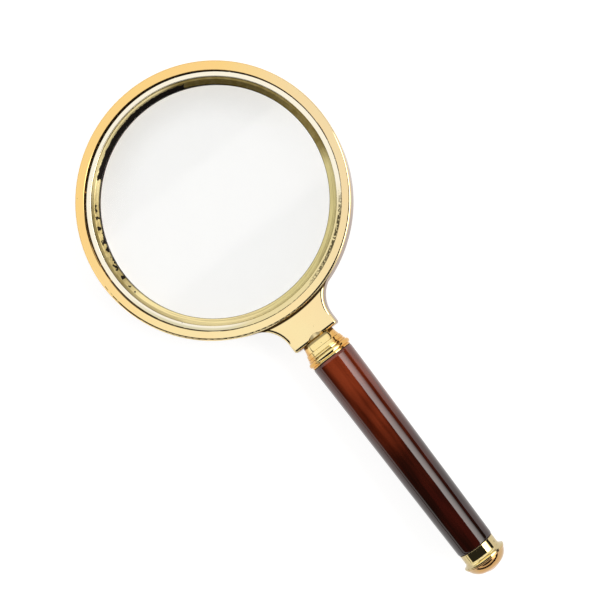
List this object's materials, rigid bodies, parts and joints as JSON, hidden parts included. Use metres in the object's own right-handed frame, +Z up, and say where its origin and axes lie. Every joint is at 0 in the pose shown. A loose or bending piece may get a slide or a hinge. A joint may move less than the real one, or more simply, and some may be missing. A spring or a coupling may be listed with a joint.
{
  "type": "magnifying glass",
  "caption": "Round hand-held magnifying glass: gold-plated ring and recessed bezel round a clear lens, and a tapered lacquered wood handle that screws off the neck.",
  "frame": {"origin": "centre of the bounding box's base, on the table the glass lies on", "axes": "+Z up, -Y along the handle away from the ring, +X to the right when the handle points to the viewer; the front face looks up"},
  "size_m": [0.1054, 0.2244, 0.0202],
  "materials": {
    "gold_plate": "mirror-polished pale gold plating",
    "gold_plate_dark": "gold plating, half-gloss, as it looks inside the ring",
    "lens_glass": "polished clear optical glass",
    "gasket_rubber": "matte black",
    "rod_steel": "zinc-plated steel",
    "fibre_washer": "dark vulcanised fibre",
    "lacquered_wood": "red-brown wood under a thick gloss lacquer"
  },
  "bodies": {
    "head": {"rim_frame": "gold_plate", "neck_bush": "gold_plate", "lens": "lens_glass", "lens_gasket": "gasket_rubber", "lens_retainer": "gold_plate_dark", "front_bezel": "gold_plate"},
    "collar": {"neck_collar": "gold_plate"},
    "handle": {"tie_rod": "rod_steel", "bead_ferrule": "gold_plate", "top_washer": "fibre_washer", "grip": "lacquered_wood", "end_washer": "fibre_washer", "end_collar": "gold_plate", "spring_washer": "rod_steel", "clamp_nut": "rod_steel", "end_knob": "gold_plate"}
  },
  "joints": [
    {"name": "handle_advance", "type": "slide", "parent": "head", "child": "collar", "axis": [0, -0.9997, 0.0255], "range_m": [0, 0.00805]},
    {"name": "handle_unscrew", "type": "hinge", "parent": "collar", "child": "handle", "pos_m": [0, 0.05944, 0.00733], "axis": [0, -0.9997, 0.0255], "range_deg": [0, 2880]}
  ],
  "couplings": [
    {"joint": "handle_advance", "follows": "handle_unscrew", "m_per_rad": 0.00015915}
  ]
}
